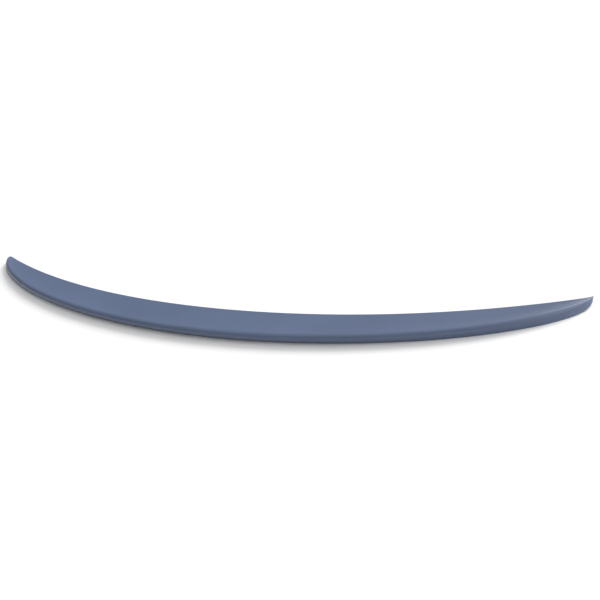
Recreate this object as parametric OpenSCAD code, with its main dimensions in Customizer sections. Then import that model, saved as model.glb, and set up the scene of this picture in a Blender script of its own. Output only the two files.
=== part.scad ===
// Rear lip spoiler for a saloon's boot lid, moulded in one piece.
// It is a slim crescent in plan. The front edge is thin, the top rises in a shallow hollow curve
// to a round lip, and the rear face is undercut below the lip and stands on a narrow flat foot.
// The underside is open: two tape channels run along its edges, with a cored hollow and
// cross ribs between them. X runs across the car, +Y towards its front, +Z up.
// The part lies as it rests on a table, on its rear foot, and only the ends of its tips rise clear.

/* [Plan] */
// Width across the car, tip to tip
span = 1130; // [900:5:1300]
// How far the tips reach forward of the middle of the front edge, as an even curve
sweep = 100; // [60:1:150]
// Extra forward reach that comes in towards the tips
tip_sweep = 14; // [0:1:40]
// Depth of the base at the middle, from front edge to rear foot
depth = 65; // [55:1:90]
// Depth lost on the way to the tips, before the round ends
depth_taper = 13; // [0:1:20]
// Radius of the front corner of each tip
tip_corner = 2.5; // [1.5:0.5:8]

/* [Section] */
// Height of the lip above the foot at the middle
lip_h = 19; // [16:0.5:28]
// Lip height lost on the way to the tips, before the round ends
lip_taper = 1; // [0:0.5:6]
// Radius of the lip
lip_r = 6.5; // [3:0.25:8]
// How much rounder the lip turns on the way to the tips
tip_round = 22; // [0:1:30]
// How far the lip reaches behind the foot at the middle
overhang = 8.5; // [4:0.5:12]
// Angle of the undercut just below the lip, from upright
undercut = 40; // [25:1:50]
// How far the lip stands in from the foot near the tips, where it runs out
tip_rake = 4; // [0:0.5:6]
// Thickness of the round front edge
front_edge = 2.2; // [1.6:0.1:3.5]
// Depth of the hollow curve of the top
top_sag = 1.5; // [0:0.25:3]
// Angle of the base to the table, because the boot lid falls away behind the front edge
base_tilt = 7; // [3:0.5:10]
// How far the ends of the tips rise clear of the table
tip_lift = 7.5; // [0:0.5:10]

/* [Underside] */
// Thickness of the skin over the hollow
wall = 2.8; // [2:0.1:4]
// Width of the flat foot along the rear edge
foot_w = 2.5; // [2:0.25:4]
// Width of the rim in front of the front tape channel
front_rim = 2.5; // [2:0.25:4]
// Width of a tape channel
tape_w = 6; // [4:0.5:10]
// Depth of a tape channel
tape_depth = 0.8; // [0.4:0.1:1.2]
// Width of the rim between a tape channel and the hollow
inner_rim = 1.2; // [0.8:0.1:2.5]
// Number of bays in the hollow
bays = 14; // [8:2:20]
// Thickness of a cross rib
rib_t = 1.8; // [1.2:0.1:3]
// How far the ribs stop short of the boot lid
rib_setback = 1; // [0.5:0.1:2]
// Slope of the sides of ribs, hollow and channels, so that the moulding leaves its tool
draft = 0.4; // [0.2:0.1:0.8]
// Length of each tip that has no hollow
solid_tip = 62; // [45:1:90]
// Length of each tip that has no tape channel
bare_tip = 26; // [20:1:40]

/* [Hidden] */

// The ends in plan follow a power curve, closed where this share of the depth is left
end_power = 8;
end_root = 1 / 3;
end_share = 0.09;
// How the lip falls with the depth at the ends
lip_fall = 0.85;
half = span / 2 / pow(1 - pow(end_share, 1 / end_root), 1 / end_power);

// The two lands with their channels, and the least hollow between them
nose_r = front_edge / 2;
rear_land = foot_w + tape_w + inner_rim;
front_land = front_rim + tape_w + inner_rim;
least_hollow = 2;
land_sum = rear_land + least_hollow + front_land + nose_r;
// Least height left in the thin front of the hollow
least_core = 0.3;
hollow_x = half - solid_tip;
tape_x = half - bare_tip;
bay = 2 * hollow_x / bays;

// Steps along a bay and the ends, and round the section
bay_steps = 3;
land_steps = 3;
tip_steps = 10;
nose_steps = 4;
top_steps = 9;
lip_steps = 8;
rear_steps = 4;
roof_steps = 4;

// What a station's underside holds
SOLID = 0;
RIB = 1;
HOLLOW = 2;

// Share of the full depth that is left at x from the middle, and the place where a share is left
function share(x) = pow(1 - pow(abs(x) / half, end_power), end_root);
function place(s) = half * pow(1 - pow(s, 1 / end_root), 1 / end_power);

// Plan: where the front edge and the rear foot lie
function bow(x) = sweep * pow(x / half, 2) + tip_sweep * pow(x / half, 4);
function corner_cut(x) =
    let (t = max(0, (abs(x) - half + tip_corner) / tip_corner))
    tip_corner * (1 - sqrt(1 - t * t));
function front_y(x) = bow(x) - corner_cut(x);
function rear_y(x) =
    bow(x) - tip_corner - (depth - depth_taper * pow(x / half, 2) - tip_corner) * share(x);

// Height of the foot above the table
function lift(x) = tip_lift * pow(1 - share(x), 2);

// Sizes of the section at x. Points of a section are [distance in front of the foot, height above it].
function base_d(x) = front_y(x) - rear_y(x);
function lip_z(x) =
    front_edge + (lip_h - front_edge - lip_taper * pow(x / half, 2)) * pow(share(x), lip_fall);
function lip_out(x) =
    overhang * (1 - pow(x / half, 2)) * share(x) - 4 * tip_rake * share(x) * (1 - share(x));
function sag(x) = top_sag * pow(share(x), 3);
function lean(x) = undercut * lip_out(x) / overhang;
function land_fit(x) = min(1, base_d(x) / land_sum);
function side(x) = draft * land_fit(x);
function base_z(x, d) = tan(base_tilt) * max(0, d - foot_w * land_fit(x));

// The round of the lip, and the front edge where the top starts
function lip_radius(x) = (lip_r + tip_round * (1 - share(x))) * pow(share(x), 1.5);
function lip_centre(x) = [lip_radius(x) - lip_out(x), lip_z(x) - lip_radius(x)];
function lip_point(x, angle) = lip_centre(x) + lip_radius(x) * [cos(angle), sin(angle)];
function nose_d(x) = base_d(x) - nose_r;
function top_start(x) = [nose_d(x), base_z(x, nose_d(x)) + front_edge];

// The top meets the lip at this slope, and its height is a parabola on the way there
function top_slope(x) =
    atan((lip_z(x) - top_start(x)[1] + 4 * sag(x)) / (nose_d(x) - lip_centre(x)[0]));
function top_end(x) = lip_point(x, 90 - top_slope(x));
function top_z(x, d) =
    let (a = top_start(x), b = top_end(x), s = (a[0] - d) / (a[0] - b[0]))
    a[1] + (b[1] - a[1]) * s - 4 * sag(x) * s * (1 - s);

function channel(x, from, to, cut) =
    let (a = from + side(x), b = to - side(x), up = cut ? tape_depth : 0)
    [[from, base_z(x, from)], [a, base_z(x, a) + up], [b, base_z(x, b) + up], [to, base_z(x, to)]];

// The roof of the hollow between the two lands. In a bay it reaches back under the lip.
function roof(x, from, to, core) =
    let (high = max(0, top_z(x, from) - wall - base_z(x, from)))
    let (under_lip = max(from - high * lip_out(x) / lip_z(x), top_end(x)[0] + wall))
    let (start = (core == HOLLOW ? under_lip : from) + side(x))
    [for (i = [0:roof_steps])
        let (d = start + (to - side(x) - start) * i / roof_steps)
        let (base = base_z(x, d))
        let (full = max(top_z(x, d) - wall, base + least_core))
        [d, core == HOLLOW ? full : core == RIB ? min(full, base + rib_setback) : base]];

function underside(x, core, cut) =
    let (k = land_fit(x), d = nose_d(x))
    let (from = rear_land * k, to = d - front_land * k)
    concat(
        [[0, 0]],
        channel(x, foot_w * k, (foot_w + tape_w) * k, cut),
        [[from, base_z(x, from)]],
        roof(x, from, to, core),
        [[to, base_z(x, to)]],
        channel(x, d - (front_rim + tape_w) * k, d - front_rim * k, cut)
    );

function nose(x) =
    [for (i = [0:nose_steps])
        let (angle = 180 * i / nose_steps - 90)
        top_start(x) + nose_r * [cos(angle), sin(angle) - 1]];

function top_curve(x) =
    [for (i = [1:top_steps - 1])
        let (d = nose_d(x) + (top_end(x)[0] - nose_d(x)) * i / top_steps)
        [d, top_z(x, d)]];

function lip(x) =
    let (from = 90 - top_slope(x), to = 180 + lean(x))
    [for (i = [0:lip_steps]) lip_point(x, from + (to - from) * i / lip_steps)];

// The rear face leaves the lip along its undercut and comes down to the edge of the foot
function rear_face(x) =
    let (a = lip_point(x, 180 + lean(x)))
    let (b = a + norm(a) / 2 * [sin(lean(x)), -cos(lean(x))])
    [for (i = [1:rear_steps - 1])
        let (t = i / rear_steps)
        pow(1 - t, 2) * a + 2 * t * (1 - t) * b];

function section(x, core, cut) =
    concat(underside(x, core, cut), nose(x), top_curve(x), lip(x), rear_face(x));

// Stations from the middle to one tip, each [distance from the middle, core, cut]
function bay_stations(i) =
    let (a = i * bay + rib_t / 2, b = (i + 1) * bay, last = i == bays / 2 - 1)
    let (c = last ? b : b - rib_t / 2)
    let (from = a + draft, to = c - draft)
    concat(
        [[a, RIB, true]],
        [for (j = [0:bay_steps]) [from + (to - from) * j / bay_steps, HOLLOW, true]],
        [[c, last ? SOLID : RIB, true]]
    );
function end_stations(from, to, steps, cut) =
    [for (i = [1:steps]) [place(from + (to - from) * i / steps), SOLID, cut]];
half_stations = concat(
    [for (i = [0:bays / 2 - 1]) each bay_stations(i)],
    end_stations(share(hollow_x), share(tape_x), land_steps, true),
    [[tape_x + draft, SOLID, false]],
    end_stations(share(tape_x + draft), end_share, tip_steps, false)
);
last_station = len(half_stations) - 1;
stations = concat(
    [for (i = [last_station:-1:0]) let (s = half_stations[i]) [-s[0], s[1], s[2]]],
    half_stations
);

// Section points are set out along the car, and each end is closed round its middle point
function set_out(x, points) = [for (p = points) [x, rear_y(x) + p[0], lift(x) + p[1]]];
function middle(x) = set_out(x, [[base_d(x), lip_z(x)] / 2]);

module spoiler() {
    rings = [for (s = stations) set_out(s[0], section(s[0], s[1], s[2]))];
    points = concat([for (ring = rings) each ring], middle(-stations[0][0]), middle(stations[0][0]));
    n = len(rings[0]);
    m = len(rings) - 1;
    sides = [for (i = [0:m - 1]) for (j = [0:n - 1])
        let (a = i * n + j, b = i * n + (j + 1) % n)
        each [[b + n, b, a], [a + n, b + n, a]]];
    ends = [for (j = [0:n - 1])
        let (a = m * n + j, b = m * n + (j + 1) % n)
        each [[j, (j + 1) % n, (m + 1) * n + 1], [b, a, (m + 1) * n]]];
    ys = [for (p = points) p[1]];
    color("#66748f")
        translate([0, -(min(ys) + max(ys)) / 2, 0])
            polyhedron(points, concat(sides, ends), convexity = 10);
}

spoiler();
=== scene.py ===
# %% [markdown]
# # A painted rear lip spoiler
#
# The part is a slim crescent of moulded ABS that is bonded along the rear edge of a boot lid. It is
# one piece: a thin front edge, a top that rises in a shallow hollow curve to a round lip, a rear face
# that is undercut below the lip, and an open underside with tape channels and ribs.
# The measured solid is already packed as a frame, and this script gives it smooth surfaces, paint,
# a floor, a camera and light. Everything is in metres: X across the car, +Y to its front, +Z up.

# %% The frame
from math import cos, radians, sin

import bmesh
import bpy
from mathutils import Matrix, Vector


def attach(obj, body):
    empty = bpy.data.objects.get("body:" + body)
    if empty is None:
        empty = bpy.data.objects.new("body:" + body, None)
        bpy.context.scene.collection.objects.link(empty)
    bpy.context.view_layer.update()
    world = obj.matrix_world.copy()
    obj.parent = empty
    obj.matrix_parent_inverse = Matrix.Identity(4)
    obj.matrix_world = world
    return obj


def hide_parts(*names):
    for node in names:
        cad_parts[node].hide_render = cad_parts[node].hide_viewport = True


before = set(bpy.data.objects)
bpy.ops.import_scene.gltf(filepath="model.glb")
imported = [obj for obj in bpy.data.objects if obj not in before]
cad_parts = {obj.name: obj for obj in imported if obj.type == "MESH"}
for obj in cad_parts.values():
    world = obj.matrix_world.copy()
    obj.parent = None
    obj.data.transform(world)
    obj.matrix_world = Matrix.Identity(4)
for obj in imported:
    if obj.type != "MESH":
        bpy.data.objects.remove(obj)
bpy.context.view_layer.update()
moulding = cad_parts["spoiler"]


def pick_only(piece):
    """Selects one object and makes it the active one."""
    bpy.ops.object.select_all(action="DESELECT")
    piece.select_set(True)
    bpy.context.view_layer.objects.active = piece


# %% [markdown]
# ## The camera
#
# The photograph looks down at the rear face from the right, with the near tip cropped close. Such a
# view can be set by eye, or worked out from a few measured points. Here it was worked out: the aim is
# a point of the table, and the camera stands 1.25 m from it, 30 degrees round from straight behind
# and 32.4 degrees up. It is rolled a little, so that the crescent hangs as it does in the picture.
# The lens shows 610 pixels to the metre at the aim point, on a picture 600 pixels wide.

# %% Camera
AIM = Vector((0.1194, 0.0348, 0.0))
DISTANCE = 1.25
ROUND_FROM_BEHIND = radians(30.04)
UP_FROM_TABLE = radians(32.40)
ROLL = radians(-12.48)
PIXELS_PER_METRE = 610
PICTURE_WIDTH = 600

backwards = Vector((
    sin(ROUND_FROM_BEHIND) * cos(UP_FROM_TABLE),
    -cos(ROUND_FROM_BEHIND) * cos(UP_FROM_TABLE),
    sin(UP_FROM_TABLE),
))
level = Vector((cos(ROUND_FROM_BEHIND), sin(ROUND_FROM_BEHIND), 0))
upright = backwards.cross(level)
across = cos(ROLL) * level + sin(ROLL) * upright
upwards = cos(ROLL) * upright - sin(ROLL) * level

bpy.ops.object.camera_add()
camera = bpy.context.object
camera.name = "picture_camera"
turn = Matrix((across, upwards, backwards)).transposed()
camera.matrix_world = Matrix.Translation(AIM + DISTANCE * backwards) @ turn.to_4x4()
camera.data.sensor_width = 36
camera.data.lens = PIXELS_PER_METRE * DISTANCE / PICTURE_WIDTH * camera.data.sensor_width
bpy.context.scene.camera = camera
print("lens:", round(camera.data.lens, 1), "mm")

# %% [markdown]
# ## The skin, started from the measured solid
#
# The measured solid is a string of cross-sections joined by loose triangles. It has every wall in its
# place, but flat facets show as bands in satin paint. The skin could be drawn again from a profile and
# a path, with the risk that it drifts from the solid. So a copy of the solid is the start: its loose
# triangles are merged into one mesh, and the crease of each wall is kept while the curves are smoothed.

# %% Copy and merge
SAME_POINT = 2e-6

pick_only(moulding)
bpy.ops.object.duplicate()
skin = bpy.context.object
skin.name = "lip_spoiler"
skin.data.name = "lip_spoiler"
pick_only(skin)
bpy.ops.object.mode_set(mode="EDIT")
bpy.ops.mesh.select_all(action="SELECT")
bpy.ops.mesh.remove_doubles(threshold=SAME_POINT)
bpy.ops.mesh.delete_loose(use_verts=True, use_edges=True, use_faces=False)
bpy.ops.object.mode_set(mode="OBJECT")
print("merged:", len(skin.data.vertices), "points,", len(skin.data.polygons), "triangles")

# %% [markdown]
# ## From triangles to four-sided strips
#
# Smoothing works best on faces with four sides that run along the part. Each strip between two
# cross-sections is a row of such faces, cut in two by a diagonal. Tris to Quads would guess which
# edges to drop. Here they are known: a strip triangle has one edge that lies in a cross-section, and
# going round the face, the diagonal is the edge just before it. The edge after it runs along the part.

# %% Drop the diagonals
SAME_SECTION = 1e-5


def lies_in_section(corner):
    start, end = corner.vert.co, corner.link_loop_next.vert.co
    return abs(start.x - end.x) < SAME_SECTION


pick_only(skin)
bpy.ops.object.mode_set(mode="EDIT")
bpy.ops.mesh.select_mode(type="EDGE")
bpy.ops.mesh.select_all(action="DESELECT")
mesh = bmesh.from_edit_mesh(skin.data)
for face in mesh.faces:
    in_section = [corner for corner in face.loops if lies_in_section(corner)]
    if len(face.verts) == 3 and len(in_section) == 1:
        in_section[0].link_loop_prev.edge.select_set(True)
bmesh.update_edit_mesh(skin.data)
bpy.ops.mesh.dissolve_edges(use_verts=False)
bpy.ops.object.mode_set(mode="OBJECT")
sides = [len(face.vertices) for face in skin.data.polygons]
print("strips:", sides.count(4), "quads,", sides.count(3), "triangles,", len(sides), "faces")

# %% [markdown]
# ## Edges that stay crisp
#
# A moulding tool cuts its channels, ribs and foot as crisp corners, while the front edge, the top and
# the lip are soft curves. Subdivision rounds everything that isn't creased. The corners could be picked
# by hand, but there are hundreds, so they are found by their angle: the top and the lip never turn as
# much as 28 degrees from one face to the next. The front edge turns 45 degrees at a time, because it is
# only 2.2 mm thick and has four faces round it. Both faces at its edges look forward, so they are let go.

# %% Crease
CORNER_ANGLE = radians(28)
LOOKS_FORWARD = 0.25

pick_only(skin)
bpy.ops.object.mode_set(mode="EDIT")
bpy.ops.mesh.select_mode(type="EDGE")
bpy.ops.mesh.select_all(action="DESELECT")
bpy.ops.mesh.edges_select_sharp(sharpness=CORNER_ANGLE)
mesh = bmesh.from_edit_mesh(skin.data)
for edge in mesh.edges:
    if edge.select and all(face.normal.y > LOOKS_FORWARD for face in edge.link_faces):
        edge.select_set(False)
bmesh.update_edit_mesh(skin.data)
bpy.ops.transform.edge_crease(value=1.0)
bpy.ops.object.mode_set(mode="OBJECT")
print("creased edges:", sum(edge.select for edge in skin.data.edges))

# %% [markdown]
# ## Smooth curves between the corners
#
# The polished tool leaves the top and the lip without a facet. More cross-sections in the solid would do
# it too, with a much heavier file. Subdivision Surface splits each face in four and relaxes it towards a
# smooth curve, and two rounds are enough here. The part then stays inside the box of the solid.

# %% Subdivide and smooth
SUBDIVISION_ROUNDS = 2

pick_only(skin)
bpy.ops.object.modifier_add(type="SUBSURF")
curves = skin.modifiers[-1]
curves.levels = SUBDIVISION_ROUNDS
curves.render_levels = SUBDIVISION_ROUNDS
bpy.ops.object.modifier_apply(modifier=curves.name)
bpy.ops.object.shade_smooth_by_angle(angle=CORNER_ANGLE)
triangles = sum(len(face.vertices) - 2 for face in skin.data.polygons)
print("skin:", triangles, "triangles")

# %% [markdown]
# ## Satin slate blue paint on ABS
#
# The moulding is sprayed with a solid slate blue and a satin clear coat. Sprayed paint is never a
# perfect sheet: it dries with a fine dimple, called orange peel, and its gloss drifts a little from
# place to place. Both are too fine to draw at their real 1 to 2 mm from this far, so the dimple here
# is 5 mm wide. Paint is a plastic, so it isn't metallic and its IOR is about 1.5.

# %% Paint
def linear(hex_code):
    """Turns an sRGB hex colour into the linear values that a shader takes."""
    channels = [int(hex_code[i:i + 2], 16) / 255 for i in (1, 3, 5)]
    return [c / 12.92 if c <= 0.04045 else ((c + 0.055) / 1.055) ** 2.4 for c in channels] + [1]


def add_node(tree, kind, links=(), **settings):
    """Adds a node. Settings are properties or input values, and links join outputs to its inputs."""
    node = tree.nodes.new(kind)
    for name, value in settings.items():
        if hasattr(node, name):
            setattr(node, name, value)
        else:
            node.inputs[name.replace("_", " ")].default_value = value
    for name, output in links:
        tree.links.new(output, node.inputs[name])
    return node


def new_material(name):
    material = bpy.data.materials.new(name)
    material.use_nodes = True
    material.node_tree.nodes.clear()
    return material, material.node_tree


paint, tree = new_material("satin_slate_paint_on_abs")
place = add_node(tree, "ShaderNodeTexCoord").outputs["Object"]
cloud = add_node(tree, "ShaderNodeTexNoise", [("Vector", place)], Scale=9.0, Detail=3.0)
shade = add_node(tree, "ShaderNodeValToRGB", [("Fac", cloud.outputs["Fac"])])
shade.color_ramp.elements[0].position = 0.3
shade.color_ramp.elements[0].color = linear("#485671")
shade.color_ramp.elements[1].position = 0.7
shade.color_ramp.elements[1].color = linear("#4c5a76")
gloss = add_node(tree, "ShaderNodeMapRange", [("Value", cloud.outputs["Fac"])], To_Min=0.42, To_Max=0.50)
peel = add_node(tree, "ShaderNodeTexNoise", [("Vector", place)], Scale=200.0, Detail=1.0)
dimples = add_node(
    tree, "ShaderNodeBump", [("Height", peel.outputs["Fac"])], Strength=1.0, Distance=0.00002
)
skin_of_paint = add_node(
    tree, "ShaderNodeBsdfPrincipled",
    [
        ("Base Color", shade.outputs["Color"]),
        ("Roughness", gloss.outputs["Result"]),
        ("Normal", dimples.outputs["Normal"]),
    ],
    IOR=1.5, Coat_Weight=0.25, Coat_Roughness=0.25,
)
add_node(tree, "ShaderNodeOutputMaterial", [("Surface", skin_of_paint.outputs["BSDF"])])
skin.data.materials.clear()
skin.data.materials.append(paint)
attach(skin, "root")
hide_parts("spoiler")
print("paint:", paint.name, "with", len(tree.nodes), "nodes")

# %% [markdown]
# ## The table
#
# The part lies on a plain white table with a matt surface, which runs out of the picture on all sides.

# %% Table
bpy.ops.mesh.primitive_plane_add(size=60, location=(0, 0, 0))
table = bpy.context.object
table.name = "table"
matt_white, tree = new_material("matt_white_laminate")
laminate = add_node(tree, "ShaderNodeBsdfPrincipled", Base_Color=linear("#e4e4e4"), Roughness=0.9)
add_node(tree, "ShaderNodeOutputMaterial", [("Surface", laminate.outputs["BSDF"])])
table.data.materials.append(matt_white)

# %% [markdown]
# ## Studio light
#
# The picture has a large soft light, far off to the front and a little to the right, which leaves the
# undercut rear face in shade and lays a soft shadow towards the camera. A second, lower and wider one at
# the right makes the right tip glow and clears the shadow there. Softboxes near the part could do it,
# but they make the table uneven. A sun lamp with a wide disc is the same soft light from far away, even
# over the whole table.

# %% Lamps
def add_far_light(name, to_the_right, above_table, disc, energy):
    """Adds a soft lamp far away. All but the energy is in degrees, and 0 to the right is the front."""
    around, up = radians(to_the_right), radians(above_table)
    towards_light = Vector((sin(around) * cos(up), cos(around) * cos(up), sin(up)))
    bpy.ops.object.light_add(type="SUN")
    lamp = bpy.context.object
    lamp.name = name
    lamp.data.angle = radians(disc)
    lamp.data.energy = energy
    lamp.rotation_euler = towards_light.to_track_quat("Z", "Y").to_euler()
    return lamp


add_far_light("front_light", to_the_right=26, above_table=35, disc=36, energy=3.1)
add_far_light("side_light", to_the_right=92, above_table=20, disc=76, energy=2.0)

# %% [markdown]
# ## Ceiling, walls and backdrop
#
# The rest of the light comes from the room: the ceiling is white, and the walls are dim, which keeps the
# shadow under the lip deep. The room could be built and lit, but a world that gets brighter with height
# is the same to the part. Behind the part stands a white backdrop. Only the lens sees it, so that it
# doesn't fill the shadow.

# %% Ceiling, walls and backdrop
studio = bpy.data.worlds.new("white_studio")
studio.use_nodes = True
bpy.context.scene.world = studio
room_tree = studio.node_tree
room = room_tree.nodes["Background"]
room.inputs["Strength"].default_value = 0.98
direction = add_node(room_tree, "ShaderNodeTexCoord").outputs["Generated"]
height = add_node(room_tree, "ShaderNodeSeparateXYZ", [("Vector", direction)]).outputs["Z"]
walls = add_node(room_tree, "ShaderNodeValToRGB", [("Fac", height)])
walls.color_ramp.elements[0].position = 0.2
walls.color_ramp.elements[0].color = linear("#606060")
walls.color_ramp.elements[1].position = 1.0
walls.color_ramp.elements[1].color = linear("#ffffff")
room_tree.links.new(walls.outputs["Color"], room.inputs["Color"])

backdrop = add_node(room_tree, "ShaderNodeBackground", Color=linear("#fafafa"), Strength=1.0)
seen_by_lens = add_node(room_tree, "ShaderNodeLightPath").outputs["Is Camera Ray"]
surround = add_node(room_tree, "ShaderNodeMixShader", [("Fac", seen_by_lens)])
room_tree.links.new(room.outputs["Background"], surround.inputs[1])
room_tree.links.new(backdrop.outputs["Background"], surround.inputs[2])
room_tree.links.new(surround.outputs["Shader"], room_tree.nodes["World Output"].inputs["Surface"])
bpy.context.scene.view_settings.view_transform = "Standard"
